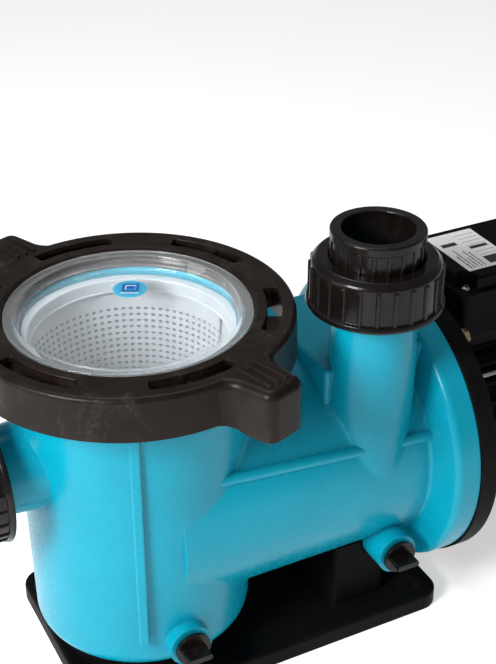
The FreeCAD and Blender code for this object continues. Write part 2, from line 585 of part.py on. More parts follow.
def make_hydraulics():
    front = on_shaft([(166, EYE_R), (166, EYE_R + 2.4), (176, EYE_R + 2.4, 2), (181, IMPELLER_R),
                      (183, IMPELLER_R), (179, EYE_R + 1, 4), (176, EYE_R)])
    back = on_shaft([(191, 5.0), (191, IMPELLER_R), (194, IMPELLER_R), (194, 13), (200, 13), (200, 5.0)])
    hub = on_shaft([(178, 5.0), (178, 8), (191.5, 13), (191.5, 5.0)])
    vanes = round_shaft(vane(16, IMPELLER_R - 0.5, 62, 2.2, 178.5, 192), VANES)
    trimmed = [v.common(on_shaft([(178, 5), (178, EYE_R + 1.2), (182, IMPELLER_R), (192, IMPELLER_R),
                                  (192, 5)])) for v in vanes]
    save("impeller", fuse([front, back, hub] + trimmed))
    nut = hexagon(12, 7, (170.8, 0, SHAFT_Z), (1, 0, 0)).cut(rod_x(160, 190, 4.0))
    save("impeller_nut", nut)

    diffuser = on_shaft([(112, 24.4), (112, 27.0), (163, 27.0), (169, 69.0, 3), (206, 72), (206, 68.5),
                         (172.5, 66.0, 3), (166.5, 28.5), (164.5, 24.4)])
    guides = [g.common(on_shaft([(168, 60), (168, 68), (204, 69.5), (204, 60)]))
              for g in round_shaft(vane(60.5, 70, 22, 2.0, 169, 204), GUIDE_VANES)]
    openings = round_shaft(box(186, 202, -9, 9, SHAFT_Z + 62, SHAFT_Z + 80), 6, 15)
    save("diffuser", cut(fuse([diffuser] + guides), openings))
    save("wear_ring", on_shaft([(164.6, EYE_R + 2.6), (164.6, EYE_R + 3.3), (170, EYE_R + 3.3),
                                (170, EYE_R + 2.6)]).cut(rod_x(150, 164.6, 30)))

    seat = on_shaft([(209, 9.0), (209, 15.9), (214, 15.9), (214, 9.0)])
    save("stationary_seal", seat)
    rotating = on_shaft([(203.2, 8.02), (203.2, 14.5), (206.5, 14.5), (206.5, 12.0), (208.9, 12.0),
                         (208.9, 8.02)])
    save("rotating_seal", rotating)
    coils = [Part.makeTorus(11.4, 0.7, vec(x, 0, SHAFT_Z), vec(1, 0, 0)) for x in (200.8, 202.35)]
    save("seal_spring", coils)


# ---- motor --------------------------------------------------------------------------------------

FRONT_BEARING = (PLATE_X + 3.0, 12.0, 8.5, 20.0)     # start, width, bore radius, outer radius
REAR_BEARING = (HOUSING_X1 + 1.0, 11.0, 7.5, 17.5)
BALLS = 8
SHAFT_END = 478.0


def make_seal_plate():
    plate = on_shaft([(208, 12.5), (208, 40, 2), (214, 60, 2), (214, CHAMBER_R - 0.3),
                      (FLANGE_X, CHAMBER_R - 0.3),
                      (FLANGE_X, FLANGE_R + 1.5, 0.6), (PLATE_X, FLANGE_R + 1.5, 1.5),
                      (PLATE_X, 60.2), (PLATE_X - 6, 60.2), (PLATE_X - 6, 18), (218, 18), (218, 12.5)])
    seat = rod_x(207, 214, 15.95)
    bolt = rod_x(FLANGE_X - 1, PLATE_X + 1, 3.6, 0, SHAFT_Z + BOLT_CIRCLE_R)
    mount_bolt = rod_x(PLATE_X - 10, PLATE_X + 1, TIE_ROD_HOLE_R, 0, SHAFT_Z + TIE_ROD_CIRCLE_R)
    save("seal_plate", cut(plate, [seat] + round_shaft(bolt, BOLT_COUNT, BOLT_START_DEG)
                           + round_shaft(mount_bolt, TIE_RODS, TIE_ROD_START_DEG)))
    head_x = PLATE_X + 1.4
    bolt = fuse([hexagon(10, 5.0, (head_x, 0, SHAFT_Z + BOLT_CIRCLE_R), (1, 0, 0)),
                 rod_x(FLANGE_X - 14, head_x + 1, BOLT_R, 0, SHAFT_Z + BOLT_CIRCLE_R)])
    save("flange_bolts", round_shaft(bolt, BOLT_COUNT, BOLT_START_DEG))
    washer = rod_x(PLATE_X, head_x, 7.6, 0, SHAFT_Z + BOLT_CIRCLE_R).cut(
        rod_x(PLATE_X - 1, head_x + 1, BOLT_R + 0.1, 0, SHAFT_Z + BOLT_CIRCLE_R))
    save("flange_washers", round_shaft(washer, BOLT_COUNT, BOLT_START_DEG))


def rod_holes(x0, x1):
    hole = rod_x(x0, x1, TIE_ROD_HOLE_R, 0, SHAFT_Z + TIE_ROD_CIRCLE_R)
    return round_shaft(hole, TIE_RODS, TIE_ROD_START_DEG)


def make_shields():
    start, width, _, outer = FRONT_BEARING
    front = on_shaft([(PLATE_X - 4, 11), (PLATE_X - 4, 60.0), (PLATE_X, 60.0), (PLATE_X, SHIELD_R, 1.5),
                      (HOUSING_X0, SHIELD_R, 1.5), (HOUSING_X0, 62), (PLATE_X + 6, 56), (PLATE_X + 6, 26),
                      (start + width, 26), (start + width, outer), (start, outer), (start, 11)])
    save("front_shield", cut(front, rod_holes(PLATE_X - 6, HOUSING_X0 + 1)))

    start, width, _, outer = REAR_BEARING
    spigot_r = FAN_COVER_R - FAN_COVER_WALL - 0.05
    rear = on_shaft([(HOUSING_X1, 62), (HOUSING_X1, FIN_R, 1), (FAN_COVER_X0, FIN_R),
                     (FAN_COVER_X0, spigot_r), (HOUSING_X1 + 14, spigot_r, 1),
                     (HOUSING_X1 + 14, 9.5), (start + width + 2.0, 9.5), (start + width + 2.0, outer),
                     (start, outer), (start, 24), (HOUSING_X1 + 8, 26), (HOUSING_X1 + 8, 58)])
    save("rear_shield", cut(rear, rod_holes(HOUSING_X1 - 1, HOUSING_X1 + 20) + cover_screw_holes()))
    save("wave_washer", on_shaft([(start + width + 0.1, 12.5), (start + width + 0.1, 17.0),
                                  (start + width + 1.9, 17.0), (start + width + 1.9, 12.5)]))

    rod = fuse([rod_x(PLATE_X - 6, HOUSING_X1 + 15, TIE_ROD_R, 0, SHAFT_Z + TIE_ROD_CIRCLE_R),
                hexagon(7, 3.4, (HOUSING_X1 + 14, 0, SHAFT_Z + TIE_ROD_CIRCLE_R), (1, 0, 0))])
    save("tie_rods", round_shaft(rod, TIE_RODS, TIE_ROD_START_DEG))


def bearing_race(x0, width, inner, outer):
    return on_shaft([(x0, inner), (x0, outer, 0.4), (x0 + width, outer, 0.4), (x0 + width, inner)])


def make_bearings():
    balls = []
    for name, (start, width, bore, outer) in (("front", FRONT_BEARING), ("rear", REAR_BEARING)):
        pitch = (bore + outer) / 2
        ball_r = (outer - bore) * 0.28
        track = Part.makeTorus(pitch, ball_r + 0.05, vec(start + width / 2, 0, SHAFT_Z), vec(1, 0, 0))
        land = ball_r * 0.62
        save(f"{name}_bearing_outer", bearing_race(start, width, pitch + land, outer).cut(track))
        save(f"{name}_bearing_inner", bearing_race(start, width, bore, pitch - land).cut(track))
        ball = Part.makeSphere(ball_r, vec(start + width / 2, 0, SHAFT_Z + pitch))
        balls += round_shaft(ball, BALLS)
    save("bearing_balls", balls)


def cover_screw_holes():
    hole = rod_z(SHAFT_Z + 60, SHAFT_Z + FAN_COVER_R + 5, 1.9, COVER_SCREW_X)
    return round_shaft(hole, COVER_SCREWS, 60)


def make_housing():
    barrel = tube_x(HOUSING_X0, HOUSING_X1, HOUSING_R, STATOR_R)
    ends = [tube_x(HOUSING_X0, HOUSING_X0 + 5, HOUSING_R + 2.4, STATOR_R),
            tube_x(HOUSING_X1 - 5, HOUSING_X1, HOUSING_R + 2.4, STATOR_R)]
    fin = box(HOUSING_X0 + 2, HOUSING_X1 - 2, -1.1, 1.1, SHAFT_Z + HOUSING_R - 1.5, SHAFT_Z + FIN_R)
    fins = round_shaft(fin, FIN_COUNT, 360 / FIN_COUNT / 2)
    box_pad = box(HOUSING_X0 + 6, BOX_X1 - 8, -34, 34, SHAFT_Z + 40, BOX_FLOOR_Z)
    foot_pad = box(352, 392, -24, 24, SHAFT_Z - FIN_R - 2, SHAFT_Z - 40)
    shell = fuse([barrel] + ends + fins + [box_pad, foot_pad])
    wire_way = rod_z(SHAFT_Z + 50, BOX_FLOOR_Z + 1, WIRE_WAY_R, WIRE_WAY_X)
    foot_screws = [rod_z(SHAFT_Z - FIN_R - 3, SHAFT_Z - FIN_R + 8, 2.4, x) for x in MOTOR_FOOT_SCREWS_X]
    box_screws = [rod_z(BOX_FLOOR_Z - 8, BOX_FLOOR_Z + 1, 1.9, x, y) for x, y in box_screw_places()]
    save("motor_housing", cut(shell, [rod_x(HOUSING_X0 - 1, HOUSING_X1 + 1, STATOR_R), wire_way]
                              + foot_screws + box_screws))


def box_screw_places():
    return [(x, y) for x in (272, 330) for y in (-26, 26)]


def make_motor_inside():
    core_x0, core_x1 = 292.0, 386.0
    core = tube_x(core_x0, core_x1, STATOR_R, AIR_GAP_R)
    slot = box(core_x0 - 1, core_x1 + 1, -2.2, 2.2, SHAFT_Z + AIR_GAP_R + 2, SHAFT_Z + 50)
    mouth = box(core_x0 - 1, core_x1 + 1, -0.9, 0.9, SHAFT_Z + 30, SHAFT_Z + AIR_GAP_R + 3)
    save("stator_core", cut(core, round_shaft(slot, STATOR_SLOTS) + round_shaft(mouth, STATOR_SLOTS)))
    coils = [on_shaft([(x0, 39), (x0, 55, 5), (x1, 55, 5), (x1, 39)])
             for x0, x1 in ((core_x0 - 22, core_x0), (core_x1, core_x1 + 22))]
    save("stator_windings", coils)
    rotor = tube_x(core_x0 - 2, core_x1 + 2, AIR_GAP_R - 0.4, 11)
    fan_blades = round_shaft(box(core_x1 + 1, core_x1 + 9, -1, 1, SHAFT_Z + 24, SHAFT_Z + 34), 9)
    save("rotor_core", fuse([rotor] + fan_blades))
    start_f, width_f, bore_f = FRONT_BEARING[:3]
    start_r, width_r, bore_r = REAR_BEARING[:3]
    shaft = on_shaft([(168, 0), (168, 4.0, 0.6), (178, 4.0), (178, 5.0), (200, 5.0), (200, 8.0),
                      (start_f - 1, 8.0), (start_f - 1, bore_f), (start_f + width_f, bore_f),
                      (start_f + width_f, 11), (start_r, 11), (start_r, bore_r),
                      (start_r + width_r + 4, bore_r), (start_r + width_r + 4, 6.5),
                      (SHAFT_END, 6.5, 0.8), (SHAFT_END, 0)])
    save("shaft", shaft)
    slinger = [(222, 8.0), (222, 16, 1), (224.5, 16, 1), (226, 10), (228, 10), (228, 8.0)]
    save("water_slinger", on_shaft(slinger))


FAN_X = 452.0
FAN_BLADES = 8


def make_fan():
    hub = on_shaft([(FAN_X, 6.5), (FAN_X, 15), (FAN_X + 18, 12, 1), (FAN_X + 18, 6.5)])
    disc = on_shaft([(FAN_X, 12), (FAN_X, 58), (FAN_X + 2, 58), (FAN_X + 2, 12)])
    blade = box(FAN_X + 1, FAN_X + 22, -1, 1, SHAFT_Z + 13, SHAFT_Z + 66)
    save("cooling_fan", fuse([hub, disc] + round_shaft(blade, FAN_BLADES)))
    cover = on_shaft([(FAN_COVER_X0, FAN_COVER_R - FAN_COVER_WALL), (FAN_COVER_X0, FAN_COVER_R, 0.6),
                      (FAN_COVER_X1, FAN_COVER_R, 12), (FAN_COVER_X1, 0), (FAN_COVER_X1 - 2.2, 0),
                      (FAN_COVER_X1 - 2.2, FAN_COVER_R - FAN_COVER_WALL, 10)])
    grille = []
    for r0, r1, count in ((12, 20, 3), (24, 32, 6), (36, 44, 6), (48, 56, 6), (60, 68, 6)):
        ring = tube_x(FAN_COVER_X1 - 5, FAN_COVER_X1 + 1, r1 - 1.2, r0 + 1.2)
        bars = round_shaft(box(FAN_COVER_X1 - 6, FAN_COVER_X1 + 2, -2.4, 2.4, SHAFT_Z, SHAFT_Z + 80), count,
                           180 / count)
        grille.append(cut(ring, bars))
    save("fan_cover", cut(cover, grille + cover_screw_holes()))
    screw = fuse([rod_z(SHAFT_Z + FAN_COVER_R + 0.02, SHAFT_Z + FAN_COVER_R + 2.2, 3.6, COVER_SCREW_X),
                  rod_z(SHAFT_Z + 63, SHAFT_Z + FAN_COVER_R + 1, 1.8, COVER_SCREW_X)])
    save("fan_cover_screws", round_shaft(screw, COVER_SCREWS, 60))


def make_motor_foot():
    plate = rounded_slab(346, 398, 62, 0, 6, 8)
    neck = slab([(354, -30, 6), (390, -30, 6), (390, 30, 6), (354, 30, 6)], 5, SHAFT_Z - FIN_R - 2)
    hollow = slab([(359, -24, 3), (385, -24, 3), (385, 24, 3), (359, 24, 3)], -1, SHAFT_Z - FIN_R - 8)
    slots = [rod_z(-1, 10, 3.6, 372, y) for y in (-50, 50)]
    holes = [rod_z(0, SHAFT_Z - FIN_R + 1, 2.6, x) for x in MOTOR_FOOT_SCREWS_X]
    save("motor_foot", cut(fuse([plate, neck]), [hollow] + slots + holes))


# ---- terminal box -------------------------------------------------------------------------------

GLAND_X, GLAND_Z = 326.0, SHAFT_Z + 99.0
CABLE_R = 5.0
BOX_BASE_TOP = BOX_LIP_Z - 6.0


def lid_screw_places():
    return [(x, y) for x in (BOX_X0 + SCREW_INSET, BOX_X1 - SCREW_INSET)
            for y in (-BOX_HALF_Y + SCREW_INSET, BOX_HALF_Y - SCREW_INSET)]


def make_terminal_box():
    outer = rounded_slab(BOX_X0 + 3, BOX_X1 - 3, BOX_HALF_Y - 3, BOX_FLOOR_Z, BOX_BASE_TOP, 6)
    inner = rounded_slab(BOX_X0 + 6, BOX_X1 - 6, BOX_HALF_Y - 6, BOX_FLOOR_Z + 3, BOX_BASE_TOP + 1, 4)
    posts = [rod_z(BOX_FLOOR_Z, BOX_BASE_TOP, 5.0, x, y) for x, y in lid_screw_places()]
    posts = [p.common(outer) for p in posts]
    shell = fuse([outer.cut(inner)] + posts)
    holes = [rod_z(BOX_BASE_TOP - 14, BOX_BASE_TOP + 1, 1.9, x, y) for x, y in lid_screw_places()]
    holes += [rod_z(BOX_FLOOR_Z - 1, BOX_FLOOR_Z + 4, 2.1, x, y) for x, y in box_screw_places()]
    holes += [rod_y(BOX_HALF_Y - 8, BOX_HALF_Y, 8.0, GLAND_X, GLAND_Z),
              rod_z(BOX_FLOOR_Z - 1, BOX_FLOOR_Z + 4, WIRE_WAY_R, WIRE_WAY_X)]
    save("terminal_box", cut(shell, holes))
    save("terminal_box_screws", [fuse([rod_z(BOX_FLOOR_Z - 7.5, BOX_FLOOR_Z + 4, 1.8, x, y),
                                       rod_z(BOX_FLOOR_Z + 3, BOX_FLOOR_Z + 5.4, 3.6, x, y)])
                                 for x, y in box_screw_places()])

    gasket = rounded_slab(BOX_X0 + 3, BOX_X1 - 3, BOX_HALF_Y - 3, BOX_BASE_TOP, BOX_BASE_TOP + 1.2, 6).cut(
        rounded_slab(BOX_X0 + 6, BOX_X1 - 6, BOX_HALF_Y - 6, BOX_BASE_TOP - 1, BOX_BASE_TOP + 2, 4))
    save("terminal_gasket", cut(gasket, [rod_z(BOX_BASE_TOP - 1, BOX_BASE_TOP + 2, 2.2, x, y)
                                         for x, y in lid_screw_places()]))

    lip = rounded_slab(BOX_X0, BOX_X1, BOX_HALF_Y, BOX_BASE_TOP + 1.2, BOX_LIP_Z, 7)
    lip = soften(lip, 1.6, lambda e: e.BoundBox.ZMin > BOX_LIP_Z - 0.1)
    panel = rounded_slab(BOX_X0 + 3.2, BOX_X1 - 3.2, BOX_HALF_Y - 3.2, BOX_LIP_Z - 1, BOX_TOP, 3)
    corner_cuts = [rod_z(BOX_LIP_Z, BOX_TOP + 1, 8.0, x, y) for x, y in lid_screw_places()]
    corner_cuts += [box(min(x, x + 12 * sx), max(x, x + 12 * sx), min(y, y + 12 * sy), max(y, y + 12 * sy),
                        BOX_LIP_Z, BOX_TOP + 1)
                    for (x, y) in lid_screw_places()
                    for sx, sy in [(1 if x > 300 else -1, 1 if y > 0 else -1)]]
    panel = cut(panel, corner_cuts)
    panel = soften(panel, 1.6, lambda e: e.BoundBox.ZMin > BOX_TOP - 0.1)
    hollow = rounded_slab(BOX_X0 + 12, BOX_X1 - 12, BOX_HALF_Y - 12, BOX_BASE_TOP, BOX_TOP - 2.5, 3)
    lid_holes = [rod_z(BOX_BASE_TOP, BOX_TOP, 2.2, x, y) for x, y in lid_screw_places()]
    save("terminal_lid", cut(fuse([lip, panel]), [hollow] + lid_holes))
    screws = []
    head = [(0, 0), (3.4, 0), (3.4, 1.2, 0.4), (2.6, 2.2, 0.5), (0, 2.2)]
    for x, y in lid_screw_places():
        screw = fuse([turned(head, (x, y, BOX_LIP_Z)), rod_z(BOX_BASE_TOP - 12, BOX_LIP_Z + 1, 1.8, x, y)])
        cross = [box(x - 2, x + 2, y - 0.45, y + 0.45, BOX_LIP_Z + 1.0, BOX_LIP_Z + 3),
                 box(x - 0.45, x + 0.45, y - 2, y + 2, BOX_LIP_Z + 1.0, BOX_LIP_Z + 3)]
        screws.append(cut(screw, cross))
    save("terminal_screws", screws)
    save("rating_label", box(258.6, 299.5, -27.0, 31.4, BOX_TOP, BOX_TOP + 0.4))


TERMINALS_X = (270, 281, 293, 304)
TERMINALS_Y = -12


def make_electrics():
    floor = BOX_FLOOR_Z + 3
    block = box(262, 312, TERMINALS_Y - 9, TERMINALS_Y + 9, floor, floor + 16)
    ways = [box(x - 4, x + 4, TERMINALS_Y - 6, TERMINALS_Y + 6, floor + 10, floor + 17)
            for x in TERMINALS_X]
    save("terminal_block", cut(block, ways))
    save("terminal_posts", [rod_z(floor + 10, floor + 19, 2.6, x, TERMINALS_Y) for x in TERMINALS_X])
    can = [(0, 0), (15, 0, 2), (15, 66, 2), (0, 66)]
    save("capacitor", turned(can, (262, 14, floor + 16.2), (1, 0, 0)))

    base = (GLAND_X, BOX_HALF_Y - 3, GLAND_Z)
    body = turned([(CABLE_R, -7), (7.9, -7), (7.9, 0), (11.5, 0), (11.5, 5), (8.4, 5.5), (8.4, 15, 1),
                   (6.6, 17.5), (CABLE_R, 17.5)], base, (0, 1, 0))
    save("cable_gland", body)
    locknut = hexagon(22, 3.4, (GLAND_X, BOX_HALF_Y - 9.6, GLAND_Z), (0, 1, 0))
    save("gland_locknut", locknut.cut(rod_y(BOX_HALF_Y - 12, BOX_HALF_Y, 7.95, GLAND_X, GLAND_Z)))
    dome = turned([(8.7, 6.6), (11.2, 6.6, 0.6), (11.2, 15, 1), (8.2, 21.5, 2), (6.0, 22.0), (6.0, 18.2),
                   (8.7, 16.4)], base, (0, 1, 0))
    flutes = ring_of(rod_y(40, 52.6, 1.0, GLAND_X + 11.8, GLAND_Z), 12, base, (0, 1, 0))
    save("gland_nut", cut(dome, flutes))


make_body()
make_lock_ring()
make_window()
make_basket()
make_unions()
make_base()
make_drains()
make_hydraulics()
make_seal_plate()
make_shields()
make_bearings()
make_housing()
make_motor_inside()
make_fan()
make_motor_foot()
make_terminal_box()
make_electrics()
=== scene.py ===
import json
import math

import bmesh
import bpy
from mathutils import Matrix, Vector


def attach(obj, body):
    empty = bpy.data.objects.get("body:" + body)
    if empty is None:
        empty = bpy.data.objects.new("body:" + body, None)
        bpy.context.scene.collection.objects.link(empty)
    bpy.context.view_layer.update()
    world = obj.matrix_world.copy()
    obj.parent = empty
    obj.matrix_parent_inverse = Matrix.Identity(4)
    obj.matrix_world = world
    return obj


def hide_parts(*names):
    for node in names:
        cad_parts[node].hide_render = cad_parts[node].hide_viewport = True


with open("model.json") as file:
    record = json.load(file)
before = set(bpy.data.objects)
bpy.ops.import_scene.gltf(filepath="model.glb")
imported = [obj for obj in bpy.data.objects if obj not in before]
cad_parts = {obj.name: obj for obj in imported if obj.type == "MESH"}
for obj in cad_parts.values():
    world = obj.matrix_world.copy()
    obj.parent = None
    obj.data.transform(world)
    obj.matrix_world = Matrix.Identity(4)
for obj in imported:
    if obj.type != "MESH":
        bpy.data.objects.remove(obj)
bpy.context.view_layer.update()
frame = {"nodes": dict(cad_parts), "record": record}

MM = 0.001
RING_TOP = 283.5             # millimetres, top face of the lock ring
PANE_TOP = RING_TOP - 11     # top of the window's flat pane
MARK_X, MARK_Y, MARK_R = 17.3, 40.1, 12.0
WAVES_PER_METRE = 3.183      # bands of a wave texture whose scale is 1
SLOT_OF = {part["node"]: part["material_slot"] for part in frame["record"]["subparts"]}


# ---- shader nodes -------------------------------------------------------------------------------

class Shader:
    """The node tree of one material, placed by object coordinates in metres."""

    def __init__(self, name):
        self.material = bpy.data.materials.new(name)
        self.material.use_nodes = True
        self.tree = self.material.node_tree
        self.surface = self.tree.nodes["Principled BSDF"]
        self.place = self.node("ShaderNodeTexCoord").outputs["Object"]

    def node(self, kind, **values):
        made = self.tree.nodes.new(kind)
        for key, value in values.items():
            setattr(made, key, value)
        return made

    def feed(self, socket, value):
        if isinstance(value, bpy.types.NodeSocket):
            self.tree.links.new(value, socket)
        else:
            socket.default_value = value

    def set(self, **values):
        for key, value in values.items():
            self.feed(self.surface.inputs[key.replace("_", " ")], value)

    def stretched(self, *scale):
        made = self.node("ShaderNodeMapping")
        self.feed(made.inputs["Vector"], self.place)
        self.feed(made.inputs["Scale"], scale)
        return made.outputs["Vector"]

    def noise(self, size_mm, detail=3.0, rough=0.5, place=None, distortion=0.0):
        """Cloudy noise with features of about size_mm."""
        made = self.node("ShaderNodeTexNoise")
        self.feed(made.inputs["Vector"], place or self.place)
        for key, value in (("Scale", 1000.0 / size_mm), ("Detail", detail), ("Roughness", rough),
                           ("Distortion", distortion)):
            self.feed(made.inputs[key], value)
        return made.outputs["Fac"]

    def cells(self, size_mm, feature="F1"):
        made = self.node("ShaderNodeTexVoronoi", feature=feature)
        self.feed(made.inputs["Vector"], self.place)
        self.feed(made.inputs["Scale"], 1000.0 / size_mm)
        return made.outputs["Distance"]

    def bands(self, pitch_mm, direction="X", kind="BANDS", distortion=0.0):
        made = self.node("ShaderNodeTexWave", wave_type=kind)
        setattr(made, "bands_direction" if kind == "BANDS" else "rings_direction", direction)
        self.feed(made.inputs["Vector"], self.place)
        self.feed(made.inputs["Scale"], 1000.0 / pitch_mm / WAVES_PER_METRE)
        self.feed(made.inputs["Distortion"], distortion)
        return made.outputs["Fac"]

    def math(self, operation, *values):
        made = self.node("ShaderNodeMath", operation=operation)
        for socket, value in zip(made.inputs, values):
            self.feed(socket, value)
        return made.outputs[0]

    def spread(self, value, low, high, start=0.3, stop=0.7):
        """Maps start..stop to low..high, and holds the ends."""
        made = self.node("ShaderNodeMapRange", clamp=True)
        for key, number in (("Value", value), ("From Min", start), ("From Max", stop),
                            ("To Min", low), ("To Max", high)):
            self.feed(made.inputs[key], number)
        return made.outputs["Result"]

    def mix(self, share, first, second):
        made = self.node("ShaderNodeMix", data_type="RGBA")
        for index, value in ((0, share), (6, first), (7, second)):
            if isinstance(value, tuple):
                value = (*value, 1.0)
            self.feed(made.inputs[index], value)
        return made.outputs[2]

    def bump(self, height, depth_mm, strength=1.0, normal=None):
        made = self.node("ShaderNodeBump")
        self.feed(made.inputs["Height"], height)
        self.feed(made.inputs["Distance"], depth_mm * MM)
        self.feed(made.inputs["Strength"], strength)
        if normal is not None:
            self.feed(made.inputs["Normal"], normal)
        return made.outputs["Normal"]

    def rounded(self, radius_mm):
        made = self.node("ShaderNodeBevel", samples=4)
        self.feed(made.inputs["Radius"], radius_mm * MM)
        return made.outputs["Normal"]

    def edges(self, rounded_normal, start=0.985, stop=0.80):
        """1 along edges, 0 on the faces between them."""
        dot = self.node("ShaderNodeVectorMath", operation="DOT_PRODUCT")
        self.feed(dot.inputs[0], rounded_normal)
        self.feed(dot.inputs[1], self.node("ShaderNodeNewGeometry").outputs["Normal"])
        return self.spread(dot.outputs["Value"], 0.0, 1.0, start, stop)


def moulded(name, dark, light, gloss=(0.3, 0.45), peel=1.4, peel_depth=0.02, scuffs=0.0,
            scuff_colour=(0.3, 0.28, 0.26), worn=0.0, edge_mm=0.5, specular=0.5, cloud=45.0):
    """Moulded plastic: clouds of two close colours, orange peel, fine scuffs and rubbed edges."""
    s = Shader(name)
    clouds = s.noise(cloud, 4, 0.6)
    colour = s.mix(s.spread(clouds, 0, 1), dark, light)
    fine = s.noise(3.0, 8, 0.7)
    roughness = s.spread(fine, *gloss)
    rounded = s.rounded(edge_mm)
    if scuffs:
        streaks = s.noise(26.0, 9, 0.72, s.stretched(1.0, 1.0, 0.25), 0.6)
        marks = s.math("MULTIPLY", s.spread(streaks, 0, 1, 0.52, 0.72),
                       s.spread(fine, 0, 1, 0.42, 0.62))
        colour = s.mix(s.math("MULTIPLY", marks, scuffs), colour, scuff_colour)
        roughness = s.math("MULTIPLY_ADD", marks, 0.12, roughness)
    if worn:
        patches = s.spread(s.noise(5.0, 5, 0.6), 0.25, 1, 0.35, 0.6)
        rubbed = s.math("MULTIPLY", s.edges(rounded), patches)
        colour = s.mix(s.math("MULTIPLY", rubbed, worn), colour, scuff_colour)
    normal = s.bump(s.noise(peel, 2, 0.5), peel_depth, 0.6, rounded)
    normal = s.bump(s.noise(peel * 9, 2, 0.5), peel_depth * 3, 0.5, normal)
    s.set(Base_Color=colour, Roughness=roughness, Normal=normal, IOR=1.5, Specular_IOR_Level=specular)
    return s


def metal(name, dark, light, gloss=(0.2, 0.38), along=(1.0, 1.0, 1.0), grain=1.6, depth=0.008,
          edge_mm=0.25):
    """Metal with a drawn grain, cloudy tarnish and rounded edges."""
    s = Shader(name)
    tarnish = s.noise(12.0, 5, 0.65)
    grained = s.noise(grain, 4, 0.6, s.stretched(*along))
    uneven = s.math("MULTIPLY_ADD", tarnish, 0.5, s.math("MULTIPLY", grained, 0.5))
    s.set(Base_Color=s.mix(s.spread(tarnish, 0, 1), dark, light), Metallic=1.0,
          Roughness=s.spread(uneven, *gloss),
          Normal=s.bump(grained, depth, 0.7, s.rounded(edge_mm)))
    return s


def painted(name, colour, dust, gloss=(0.42, 0.6)):
    """Textured paint on metal: fine pebbles, dust that lies on what faces up, and rubbed edges."""
    s = Shader(name)
    rounded = s.rounded(0.6)
    pebbles = s.cells(1.3)
    up = s.node("ShaderNodeSeparateXYZ")
    s.feed(up.inputs[0], s.node("ShaderNodeNewGeometry").outputs["Normal"])
    settled = s.math("MULTIPLY", s.spread(up.outputs["Z"], 0, 1, 0.2, 1.0),
                     s.spread(s.noise(18.0, 6, 0.7), 0, 1))
    base = s.mix(s.math("MULTIPLY", s.edges(rounded), 0.25), colour, (0.12, 0.12, 0.12))
    s.set(Base_Color=s.mix(s.math("MULTIPLY", settled, 0.35), base, dust),
          Roughness=s.spread(pebbles, gloss[0], gloss[1], 0.0, 0.8),
          Normal=s.bump(pebbles, 0.05, 0.5, rounded), Specular_IOR_Level=0.12)
    return s


def clear(name, tint):
    """Clear polished plastic with a slight haze and faint scratches, which lets the lamps through."""
    s = Shader(name)
    scratches = s.noise(30.0, 9, 0.75, s.stretched(1.0, 0.2, 1.0), 1.2)
    s.set(Base_Color=(*tint, 1.0), Roughness=s.spread(scratches, 0.0, 0.06, 0.5, 0.75),
          Normal=s.bump(s.noise(22.0, 2, 0.4), 0.02, 0.25), IOR=1.49)
    s.surface.inputs["Transmission Weight"].default_value = 0.93      # the rest is the haze
    lamps = s.node("ShaderNodeBsdfTransparent")
    lamps.inputs["Color"].default_value = (0.93, 0.95, 0.96, 1.0)
    chosen = s.node("ShaderNodeMixShader")
    s.feed(chosen.inputs[0], s.node("ShaderNodeLightPath").outputs["Is Shadow Ray"])
    s.feed(chosen.inputs[1], s.surface.outputs[0])
    s.feed(chosen.inputs[2], lamps.outputs[0])
    s.feed(s.tree.nodes["Material Output"].inputs["Surface"], chosen.outputs[0])
    return s


def laminated(name, pitch_mm=0.65):
    """Stacked steel sheet, edge on."""
    s = metal(name, (0.16, 0.15, 0.15), (0.30, 0.29, 0.28), (0.35, 0.55))
    s.set(Normal=s.bump(s.bands(pitch_mm), 0.05, 0.8))
    return s


def wound(name):
    """Enamelled wire lying round the shaft."""
    s = Shader(name)
    turns = s.bands(1.1, "X", distortion=1.5)
    s.set(Base_Color=s.mix(s.spread(turns, 0, 1), (0.30, 0.09, 0.03), (0.72, 0.30, 0.12)), Metallic=0.7,
          Roughness=s.spread(s.noise(4.0), 0.22, 0.4), Normal=s.bump(turns, 0.3))
    return s


def disc_print(name, inner, outer, centre, radius_mm):
    """Printed film that grades from its middle to its rim, under a clear coat."""
    s = Shader(name)
    away = s.node("ShaderNodeVectorMath", operation="DISTANCE")
    s.feed(away.inputs[0], s.place)
    s.feed(away.inputs[1], centre)
    grade = s.spread(away.outputs["Value"], 0, 1, radius_mm * 0.35 * MM, radius_mm * MM)
    speckle = s.spread(s.noise(1.1, 3, 0.6), -0.06, 0.06)
    s.set(Base_Color=s.mix(s.math("ADD", grade, speckle), inner, outer),
          Roughness=s.spread(s.noise(2.0), 0.18, 0.3), Normal=s.bump(s.noise(6.0), 0.02, 0.4))
    s.surface.inputs["Coat Weight"].default_value = 0.5
    return s


